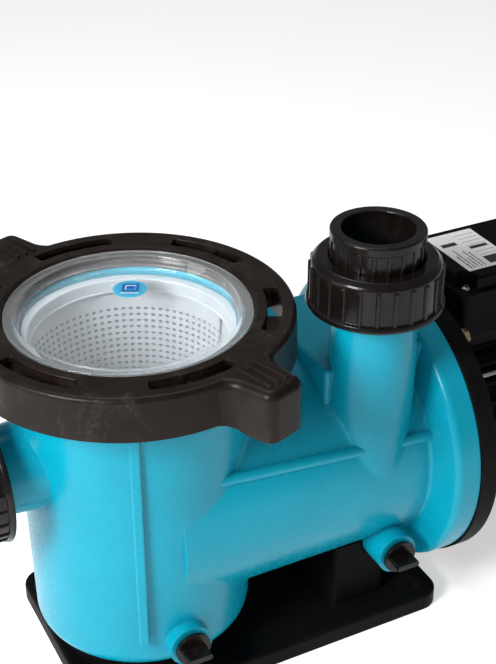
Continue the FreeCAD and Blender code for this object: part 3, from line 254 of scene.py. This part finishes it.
FINISHES = {
    "teal_plastic": moulded("teal_moulding", (0.0008, 0.290, 0.410), (0.0018, 0.325, 0.455), (0.20, 0.32),
                            peel=1.8, peel_depth=0.016, scuffs=0.08, scuff_colour=(0.20, 0.50, 0.6),
                            worn=0.22, edge_mm=0.7, cloud=70.0, specular=0.26),
    "black_plastic": moulded("ring_moulding", (0.0066, 0.0039, 0.0027), (0.0138, 0.0090, 0.0068),
                             (0.28, 0.42), peel=1.2, peel_depth=0.03, scuffs=0.45,
                             scuff_colour=(0.11, 0.092, 0.083), worn=0.5, edge_mm=0.35, cloud=22.0,
                             specular=0.15),
    "union_plastic": moulded("union_moulding", (0.0035, 0.0027, 0.0024), (0.0085, 0.0066, 0.0058),
                             (0.16, 0.28), peel=1.6, peel_depth=0.02, scuffs=0.25,
                             scuff_colour=(0.055, 0.040, 0.030), worn=0.35, edge_mm=0.6, cloud=18.0,
                             specular=0.26),
    "base_plastic": moulded("base_moulding", (0.0025, 0.0024, 0.0025), (0.006, 0.0057, 0.0058),
                            (0.42, 0.58), scuffs=0.25, scuff_colour=(0.035, 0.035, 0.035), worn=0.35,
                            specular=0.05),
    "clear_plastic": clear("window_plastic", (0.87, 0.875, 0.88)),
    "mark_print": disc_print("mark_print", (0.02, 0.27, 0.54), (0.05, 0.46, 0.68),
                             (MARK_X * MM, MARK_Y * MM, PANE_TOP * MM), MARK_R),
    "white_plastic": moulded("basket_moulding", (0.45, 0.49, 0.51), (0.52, 0.56, 0.58), (0.32, 0.45),
                             peel_depth=0.01, scuffs=0.12, scuff_colour=(0.5, 0.55, 0.55), edge_mm=0.3),
    "rubber": moulded("rubber", (0.008, 0.008, 0.008), (0.018, 0.017, 0.016), (0.6, 0.8), peel=0.8,
                      scuffs=0.2, scuff_colour=(0.06, 0.06, 0.055), cloud=15.0),
    "zinc_brass": metal("zinc_plate", (0.42, 0.30, 0.15), (0.72, 0.56, 0.34), (0.25, 0.42)),
    "steel": metal("steel", (0.45, 0.45, 0.46), (0.68, 0.68, 0.70), (0.18, 0.36)),
    "bearing_steel": metal("ground_steel", (0.55, 0.55, 0.57), (0.72, 0.72, 0.74), (0.08, 0.20),
                           along=(0.2, 1.0, 1.0), grain=0.7),
    "motor_paint": painted("motor_paint", (0.0030, 0.0030, 0.0033), (0.018, 0.017, 0.016)),
    "cover_plastic": moulded("cover_moulding", (0.0018, 0.0018, 0.0019), (0.0042, 0.0041, 0.0042),
                             (0.40, 0.55), scuffs=0.25, scuff_colour=(0.03, 0.03, 0.03), worn=0.3,
                             specular=0.03),
    "box_plastic": moulded("box_moulding", (0.0018, 0.0017, 0.0018), (0.0044, 0.0041, 0.0042), (0.34, 0.50),
                           peel=0.9, scuffs=0.25, scuff_colour=(0.05, 0.047, 0.045), worn=0.4, edge_mm=0.6,
                           specular=0.04),
    "label_film": moulded("label_film", (0.80, 0.80, 0.81), (0.88, 0.88, 0.88), (0.30, 0.42),
                          peel_depth=0.004, scuffs=0.12, scuff_colour=(0.45, 0.44, 0.42), edge_mm=0.1,
                          cloud=12.0),
    "laminations": laminated("laminations"),
    "copper_wire": wound("copper_wire"),
    "terminal_brass": metal("terminal_brass", (0.55, 0.36, 0.12), (0.82, 0.62, 0.28), (0.15, 0.30)),
    "hydraulic_plastic": moulded("filled_plastic", (0.020, 0.020, 0.022), (0.045, 0.045, 0.048),
                                 (0.42, 0.6), scuffs=0.3, scuff_colour=(0.14, 0.14, 0.14), cloud=9.0),
    "seal_ceramic": moulded("seal_ceramic", (0.72, 0.68, 0.60), (0.82, 0.79, 0.72), (0.18, 0.28), cloud=8.0,
                            peel_depth=0.004),
    "seal_carbon": moulded("seal_carbon", (0.010, 0.010, 0.011), (0.022, 0.022, 0.023), (0.28, 0.4),
                           cloud=6.0),
    "terminal_moulding": moulded("terminal_moulding", (0.03, 0.03, 0.033), (0.055, 0.055, 0.06),
                                 (0.4, 0.55), cloud=10.0),
    "capacitor_case": moulded("capacitor_case", (0.50, 0.51, 0.51), (0.60, 0.61, 0.61), (0.3, 0.42),
                              cloud=20.0),
}
ink = moulded("label_ink", (0.008, 0.008, 0.009), (0.018, 0.018, 0.018), (0.35, 0.5), peel_depth=0.003,
              scuffs=0.2, scuff_colour=(0.2, 0.2, 0.2), edge_mm=0.1, cloud=6.0)
deep_blue = moulded("mark_blue", (0.012, 0.085, 0.34), (0.02, 0.12, 0.42), (0.2, 0.3), peel_depth=0.003,
                    edge_mm=0.1, cloud=5.0)
mark_white = moulded("mark_white", (0.62, 0.70, 0.74), (0.72, 0.78, 0.80), (0.25, 0.35), peel_depth=0.003,
                     edge_mm=0.1, cloud=5.0)

for node, piece in frame["nodes"].items():
    for place in piece.material_slots:
        place.material = FINISHES[SLOT_OF[node]].material


# ---- mesh helpers -------------------------------------------------------------------------------

def piece_from(name, mesh, body, finish, replaced=()):
    made = bpy.data.objects.new(name, mesh)
    bpy.context.scene.collection.objects.link(made)
    mesh.materials.append(finish.material)
    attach(made, body)
    if replaced:
        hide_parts(*replaced)
    return made


def mesh_from(name, points_mm, faces, smooth=True):
    mesh = bpy.data.meshes.new(name)
    mesh.from_pydata([tuple(c * MM for c in p) for p in points_mm], [], faces)
    work = bmesh.new()
    work.from_mesh(mesh)
    bmesh.ops.recalc_face_normals(work, faces=work.faces)
    work.to_mesh(mesh)
    work.free()
    mesh.polygons.foreach_set("use_smooth", [smooth] * len(mesh.polygons))
    return mesh


def rounded_outline(points, steps=5):
    """Closed (r, z) outline whose corners given as (r, z, radius) become arcs."""
    made = []
    for i, point in enumerate(points):
        here = Vector(point[:2])
        radius = point[2] if len(point) > 2 else 0
        if not radius:
            made.append(here)
            continue
        before = (Vector(points[i - 1][:2]) - here).normalized()
        after = (Vector(points[(i + 1) % len(points)][:2]) - here).normalized()
        half = before.angle(after) / 2
        start = here + before * radius / math.tan(half)
        stop = here + after * radius / math.tan(half)
        centre = here + (before + after).normalized() * radius / math.sin(half)
        first, last = start - centre, stop - centre
        for k in range(steps + 1):
            made.append(centre + (first * (steps - k) + last * k).normalized() * radius)
    return [tuple(p) for p in made]


def lathe(name, points, segments=160):
    """Closed solid turned about the pot's axis. Points on the axis become single vertices."""
    outline = rounded_outline(points)
    verts, rings = [], []
    for r, z in outline:
        if r < 1e-6:
            rings.append([len(verts)] * segments)
            verts.append((0, 0, z))
        else:
            rings.append([len(verts) + k for k in range(segments)])
            turns = [2 * math.pi * k / segments for k in range(segments)]
            verts += [(r * math.cos(turn), r * math.sin(turn), z) for turn in turns]
    faces = []
    for i, ring in enumerate(rings):
        other = rings[(i + 1) % len(rings)]
        for k in range(segments):
            loop = [ring[k], ring[(k + 1) % segments], other[(k + 1) % segments], other[k]]
            loop = [v for j, v in enumerate(loop) if v not in loop[:j]]
            if len(loop) > 2:
                faces.append(loop)
    return mesh_from(name, verts, faces)


def flat_plates(name, plates, z0, thickness):
    """Thin raised plates, each given by its outline in X and Y."""
    verts, faces = [], []
    for outline in plates:
        base, n = len(verts), len(outline)
        verts += [(x, y, z0) for x, y in outline] + [(x, y, z0 + thickness) for x, y in outline]
        faces += [[base + n + k for k in range(n)], [base + n - 1 - k for k in range(n)]]
        faces += [[base + k, base + (k + 1) % n, base + n + (k + 1) % n, base + n + k]
                  for k in range(n)]
    return mesh_from(name, verts, faces, smooth=False)


def crisp(made, degrees=35):
    """Smooth shading that stays sharp across steep edges."""
    work = bmesh.new()
    work.from_mesh(made.data)
    for edge in work.edges:
        if len(edge.link_faces) == 2 and edge.calc_face_angle() > math.radians(degrees):
            edge.smooth = False
    work.to_mesh(made.data)
    work.free()


def rectangle(x0, x1, y0, y1):
    return [(x0, y0), (x1, y0), (x1, y1), (x0, y1)]


# ---- lid window and its mark --------------------------------------------------------------------

PANE_THICK = 4.0
COLLAR_TOP, COLLAR_R = RING_TOP - 0.8, 83.3         # the window's raised rim, just under the ring's top
FLANGE_TOP, FLANGE_BOTTOM, FLANGE_R = RING_TOP - 5.6, RING_TOP - 9.8, 87.6
DISC_LIFT, DISC_TOP = 0.02, 0.3                     # millimetres above the pane
PRINT_LIFT, PRINT_THICK = 0.28, 0.08
MARK_TURN = math.radians(-27)

window = piece_from("lid_window_clear", lathe("lid_window_clear", [
    (0, PANE_TOP - PANE_THICK), (0, PANE_TOP), (72.6, PANE_TOP, 2.0), (75.6, COLLAR_TOP, 0.8),
    (COLLAR_R, COLLAR_TOP, 0.8), (COLLAR_R, FLANGE_TOP, 0.3), (FLANGE_R, FLANGE_TOP, 0.5),
    (FLANGE_R, FLANGE_BOTTOM), (77.0, FLANGE_BOTTOM, 0.2), (76.6, PANE_TOP - PANE_THICK, 1.0)], 192),
    "window", FINISHES["clear_plastic"], ["lid_window"])
crisp(window)

disc_mesh = lathe("window_mark_disc", [
    (0, PANE_TOP + DISC_LIFT), (0, PANE_TOP + DISC_TOP), (MARK_R, PANE_TOP + DISC_TOP, 0.12),
    (MARK_R, PANE_TOP + DISC_LIFT)], 72)
for vertex in disc_mesh.vertices:
    vertex.co.x += MARK_X * MM
    vertex.co.y += MARK_Y * MM
piece_from("window_mark_disc", disc_mesh, "window", FINISHES["mark_print"], ["window_mark"])


def mark_plates(name, outlines):
    """Plates printed on the mark, given about its centre and turned with it."""
    c, s = math.cos(MARK_TURN), math.sin(MARK_TURN)
    turned = [[(MARK_X + u * c - v * s, MARK_Y + u * s + v * c) for u, v in outline]
              for outline in outlines]
    return flat_plates(name, turned, PANE_TOP + PRINT_LIFT, PRINT_THICK)


square = [rectangle(-5.6, 6.2, 5.6, 7.4), rectangle(-5.6, 6.2, -3.6, -1.9),
          rectangle(-5.6, -3.8, -1.9, 5.6), rectangle(4.4, 6.2, -1.9, 5.6), rectangle(-2.2, 2.8, 0.0, 3.8)]
lines = [rectangle(-6.4, 6.4, -6.6, -5.5), rectangle(-3.4, 4.0, 4.3, 5.0), rectangle(-3.4, -2.8, -1.2, 4.3)]
piece_from("window_mark_square", mark_plates("window_mark_square", square),
           "window", deep_blue)
piece_from("window_mark_line", mark_plates("window_mark_line", lines),
           "window", mark_white)


# ---- strainer basket ----------------------------------------------------------------------------

BASKET_TOP, BASKET_BOTTOM = RING_TOP - 19.0, RING_TOP - 150.0
BASKET_R0, BASKET_R1, BASKET_WALL = 71.2, 60.0, 2.4          # radii at the rim and at the floor
RIM_R, RIM_DEPTH = 76.4, 2.8
CORNER_R, CORNER_STEPS = 6, 5                                # between wall and floor
SUCTION_Z, INLET_R, INLET_MARGIN = 181.0, 31.0, 4.5          # no small holes within the margin
BORE_START, BORE_STOP = 30, 90                               # the inlet's cutter, out from the axis
COLUMNS, ROWS = 80, 21
HALF_COLUMN = math.pi / COLUMNS
HOLE_W, HOLE_H = 3.1, 2.2
FLOOR_HOLE_W, FLOOR_HOLE_SHARE = 2.6, 0.55                   # widest, and largest share of the pitch
HOLES_TOP, HOLES_BOTTOM = BASKET_TOP - 22.0, BASKET_BOTTOM + 7.0
CORNER_TOP = BASKET_BOTTOM + CORNER_R
PLAIN_BANDS = ((CORNER_TOP, HOLES_BOTTOM), (HOLES_TOP, BASKET_TOP - 8), (BASKET_TOP - 8, BASKET_TOP - 2))
FLOOR_ZONES = ((COLUMNS // 2, (51.0, 46.2, 41.4, 36.6, 31.8, 27.0)),      # holes round, radii of the rings
               (COLUMNS // 4, (24.0, 19.2, 14.4, 9.6)))
OCTAGON = ((-0.72, -0.72), (0, -1), (0.72, -0.72), (1, 0), (0.72, 0.72), (0, 1), (-0.72, 0.72), (-1, 0))


class Grid:
    """Cells over a (u, v) surface, each of which may hold an eight-sided hole."""

    def __init__(self, place):
        self.place, self.verts, self.faces, self.known = place, [], [], {}

    def vertex(self, u, v):
        key = (round(u, 6), round(v, 6))
        if key not in self.known:
            self.known[key] = len(self.verts)
            self.verts.append(self.place(u, v))
        return self.known[key]

    def cell(self, u0, u1, v0, v1, hole_u=0.0, hole_v=0.0):
        um, vm = (u0 + u1) / 2, (v0 + v1) / 2
        rim = [(u0, v0), (um, v0), (u1, v0), (u1, vm), (u1, v1), (um, v1), (u0, v1), (u0, vm)]
        outer = [self.vertex(u, v) for u, v in rim]
        if not hole_u:
            self.faces.append(outer)
            return
        inner = [self.vertex(um + a * hole_u / 2, vm + b * hole_v / 2) for a, b in OCTAGON]
        for k in range(8):
            self.faces.append([outer[k], outer[(k + 1) % 8], inner[(k + 1) % 8], inner[k]])


def basket_radius(z):
    share = (z - BASKET_BOTTOM) / (BASKET_TOP - RIM_DEPTH - BASKET_BOTTOM)
    return BASKET_R1 + (BASKET_R0 - BASKET_R1) * share


def wall_place(u, z):
    """u runs 0..COLUMNS round the basket."""
    turn = 2 * math.pi * (u % COLUMNS) / COLUMNS + HALF_COLUMN
    return basket_radius(z) * math.cos(turn), basket_radius(z) * math.sin(turn), z


def make_basket():
    grid = Grid(wall_place)
    row_height = (HOLES_TOP - HOLES_BOTTOM) / ROWS
    for i in range(COLUMNS):
        for j in range(ROWS):
            z0 = HOLES_BOTTOM + j * row_height
            x, y, z = wall_place(i + 0.5, z0 + row_height / 2)
            near_inlet = x < 0 and math.hypot(y, z - SUCTION_Z) < INLET_R + INLET_MARGIN
            pitch = 2 * math.pi * basket_radius(z) / COLUMNS
            grid.cell(i, i + 1, z0, z0 + row_height,
                      *((0, 0) if near_inlet else (HOLE_W / pitch, HOLE_H)))
        for z0, z1 in PLAIN_BANDS:
            grid.cell(i, i + 1, z0, z1)

    # rounded corner down to the floor, then two zones of the floor, each with half the columns before it
    def ring(radius, z, count):
        first = len(grid.verts)
        turns = [2 * math.pi * k / count + HALF_COLUMN for k in range(count)]
        grid.verts += [(radius * math.cos(turn), radius * math.sin(turn), z) for turn in turns]
        return [first + k for k in range(count)]

    def join(first, second):
        """Faces between two rings, the second with as many or half as many vertices."""
        n, m = len(first), len(second)
        step = n // m
        for k in range(m):
            grid.faces.append([first[(k * step + i) % n] for i in range(step + 1)]
                              + [second[(k + 1) % m], second[k]])

    last = [grid.vertex(k / 2 % COLUMNS, CORNER_TOP) for k in range(2 * COLUMNS)]
    corner_centre = basket_radius(CORNER_TOP) - CORNER_R
    for k in range(1, CORNER_STEPS + 1):
        a = math.pi / 2 * k / CORNER_STEPS
        step = ring(corner_centre + CORNER_R * math.cos(a), CORNER_TOP - CORNER_R * math.sin(a),
                    2 * COLUMNS)
        join(last, step)
        last = step
    for count, radii in FLOOR_ZONES:
        step = ring(radii[0], BASKET_BOTTOM, 2 * count)
        join(last, step)
        for r0, r1 in zip(radii, radii[1:]):
            inner = ring(r1, BASKET_BOTTOM, 2 * count)
            across = 2 * math.pi * (r0 + r1) / 2 / count
            hole_w = min(FLOOR_HOLE_W, across * FLOOR_HOLE_SHARE)
            for k in range(count):
                turn = 2 * math.pi * (k + 0.5) / count + HALF_COLUMN
                radial = Vector((math.cos(turn), math.sin(turn)))
                side = Vector((-radial.y, radial.x))
                middle = radial * (r0 + r1) / 2
                hole = [len(grid.verts) + j for j in range(len(OCTAGON))]
                for a, b in OCTAGON:
                    spot = middle + side * a * hole_w / 2 - radial * b * HOLE_H / 2
                    grid.verts.append((spot.x, spot.y, BASKET_BOTTOM))
                k0, k1, k2 = 2 * k, 2 * k + 1, (2 * k + 2) % (2 * count)
                grid.faces += [[step[k0], step[k1], hole[1], hole[0]],
                               [step[k1], step[k2], hole[2], hole[1]],
                               [step[k2], inner[k2], hole[4], hole[3], hole[2]],
                               [inner[k2], inner[k1], hole[5], hole[4]],
                               [inner[k1], inner[k0], hole[6], hole[5]],
                               [inner[k0], step[k0], hole[0], hole[7], hole[6]]]
            step = inner
        last = step
    grid.faces.append(last[::-1])
    mesh = mesh_from("basket_mesh", grid.verts, grid.faces)
    made = piece_from("basket_perforated", mesh, "basket", FINISHES["white_plastic"],
                      ["basket"])
    thick = made.modifiers.new("wall", "SOLIDIFY")
    thick.thickness, thick.offset = BASKET_WALL * MM, -1.0
    thick.use_even_offset = True
    bore = lathe("inlet_bore", [(0, BORE_START), (INLET_R, BORE_START), (INLET_R, BORE_STOP),
                                (0, BORE_STOP)], 96)
    for vertex in bore.vertices:
        x, y, z = vertex.co
        vertex.co = (-z, y, x + SUCTION_Z * MM)
    cutter = bpy.data.objects.new("inlet_bore", bore)
    bpy.context.scene.collection.objects.link(cutter)
    hole = made.modifiers.new("inlet", "BOOLEAN")
    hole.object, hole.operation, hole.solver = cutter, "DIFFERENCE", "EXACT"
    graph = bpy.context.evaluated_depsgraph_get()
    finished = bpy.data.meshes.new_from_object(made.evaluated_get(graph))
    made.modifiers.clear()
    made.data = finished
    bpy.data.objects.remove(cutter)
    crisp(made, 50)
    rim = lathe("basket_rim", [(BASKET_R0 - 4.2, BASKET_TOP - 9), (BASKET_R0 - 0.2, BASKET_TOP - 9),
                               (BASKET_R0 + 0.2, BASKET_TOP - RIM_DEPTH),
                               (RIM_R, BASKET_TOP - RIM_DEPTH, 0.4), (RIM_R, BASKET_TOP, 1.0),
                               (BASKET_R0 - BASKET_WALL, BASKET_TOP, 1.0),
                               (BASKET_R0 - BASKET_WALL - 0.6, BASKET_TOP - 8, 0.5)])
    crisp(piece_from("basket_rim", rim, "basket", FINISHES["white_plastic"]), 35)


make_basket()


# ---- rating label -------------------------------------------------------------------------------

BOX_TOP = RING_TOP - 24.0
LABEL_X0, LABEL_X1, LABEL_Y0, LABEL_Y1 = 258.6, 299.5, -27.0, 31.4
FILM_LIFT, FILM_THICK = 0.02, 0.22                  # above the box's top
INK_LIFT, INK_THICK = 0.23, 0.05
# each line's start and end as shares of the label's length, and its height
LABEL_LINES = ((0.06, 0.40, 1.4), (0.06, 0.58, 1.1), (0.06, 0.30, 1.1), (0.06, 0.50, 1.1),
               (0.06, 0.44, 1.1))
LINE_PITCH, RULE_PITCH = 3.1, 5.6
BLOCK_WIDTHS, BLOCK_GAP = (1.5, 2.4, 0.9, 1.9, 1.2), 0.7


def rounded_rectangle(x0, x1, y0, y1, radius, steps=6):
    made = []
    for cx, cy, start in ((x1 - radius, y1 - radius, 0), (x0 + radius, y1 - radius, 90),
                          (x0 + radius, y0 + radius, 180), (x1 - radius, y0 + radius, 270)):
        made += [(cx + radius * math.cos(math.radians(start + 90 * k / steps)),
                  cy + radius * math.sin(math.radians(start + 90 * k / steps))) for k in range(steps + 1)]
    return made


piece_from("rating_label_film", flat_plates("rating_label_film", [
    rounded_rectangle(LABEL_X0, LABEL_X1, LABEL_Y0, LABEL_Y1, 1.2)], BOX_TOP + FILM_LIFT, FILM_THICK),
    "pump", FINISHES["label_film"], ["rating_label"])
blocks = []
for row, (start, stop, thick) in enumerate(LABEL_LINES):
    x = LABEL_X0 + 4.0 + row * LINE_PITCH
    y = LABEL_Y0 + (LABEL_Y1 - LABEL_Y0) * start
    line_end = LABEL_Y0 + (LABEL_Y1 - LABEL_Y0) * stop
    k = 0
    while y < line_end:
        width = BLOCK_WIDTHS[(k * 3 + row) % len(BLOCK_WIDTHS)]
        blocks.append(rectangle(x, x + thick, y, min(y + width, line_end)))
        y += width + BLOCK_GAP
        k += 1
blocks.append(rectangle(LABEL_X0 + 3.5, LABEL_X0 + 16.5, 12.0, 17.0))
blocks.append(rectangle(LABEL_X0 + 22.0, LABEL_X0 + 37.5, -23.0, -12.0))
blocks.append(rectangle(LABEL_X0 + 22.0, LABEL_X0 + 37.5, 2.0, 6.0))
for k in range(7):
    blocks.append(rectangle(LABEL_X0 + 21.5, LABEL_X0 + 38.5, -9.0 + k * RULE_PITCH, -8.6 + k * RULE_PITCH))
piece_from("rating_label_print", flat_plates("rating_label_print", blocks, BOX_TOP + INK_LIFT, INK_THICK),
           "pump", ink)


# ---- floor, light and camera --------------------------------------------------------------------

TARGET = (0.12, -0.02, 0.2)         # what the lights face
FLOOR_HALF, FLOOR_Z = 9000, -0.5    # millimetres
FLOOR_GLOW, WORLD_STRENGTH = 0.52, 0.22


def area_light(name, place, size, power):
    light = bpy.data.lights.new(name, "AREA")
    light.shape, light.size, light.size_y = "RECTANGLE", *size
    light.energy = power
    made = bpy.data.objects.new(name, light)
    bpy.context.scene.collection.objects.link(made)
    made.location = place
    made.rotation_euler = (Vector(TARGET) - Vector(place)).to_track_quat("-Z", "Y").to_euler()


corners = rectangle(-FLOOR_HALF, FLOOR_HALF, -FLOOR_HALF, FLOOR_HALF)
floor_mesh = mesh_from("floor", [(x, y, FLOOR_Z) for x, y in corners], [[0, 1, 2, 3]], smooth=False)
floor = bpy.data.objects.new("floor", floor_mesh)
bpy.context.scene.collection.objects.link(floor)
paper = Shader("paper_floor")
paper.set(Base_Color=paper.mix(paper.noise(300.0, 2, 0.5), (0.80, 0.80, 0.80), (0.83, 0.83, 0.83)),
          Roughness=0.8, Specular_IOR_Level=0.1, Emission_Color=(1.0, 1.0, 1.0, 1.0),
          Emission_Strength=FLOOR_GLOW)
floor_mesh.materials.append(paper.material)

area_light("key", (-1.12, -0.48, 1.05), (0.45, 0.5), 28)
area_light("left_fill", (-1.6, 0.2, 0.6), (0.6, 0.6), 3)
area_light("top", (0.15, 0.55, 1.8), (1.0, 0.6), 8)

world = bpy.data.worlds.new("studio")
bpy.context.scene.world = world
world.use_nodes = True
world.node_tree.nodes["Background"].inputs["Color"].default_value = (1.0, 1.0, 1.0, 1.0)
world.node_tree.nodes["Background"].inputs["Strength"].default_value = WORLD_STRENGTH

PITCH = math.radians(30.96)          # downwards
AHEAD_X, AHEAD_Y = 0.454, 0.891      # the camera's heading over the floor
camera_data = bpy.data.cameras.new("camera")
camera_data.sensor_width, camera_data.lens = 36.0, 73.03
camera = bpy.data.objects.new("camera", camera_data)
bpy.context.scene.collection.objects.link(camera)
camera.location = (-0.2826, -0.7302, 0.7310)
look = Vector((AHEAD_X * math.cos(PITCH), AHEAD_Y * math.cos(PITCH), -math.sin(PITCH)))
camera.rotation_euler = look.to_track_quat("-Z", "Y").to_euler()
bpy.context.scene.camera = camera
bpy.context.scene.view_settings.view_transform = "Standard"
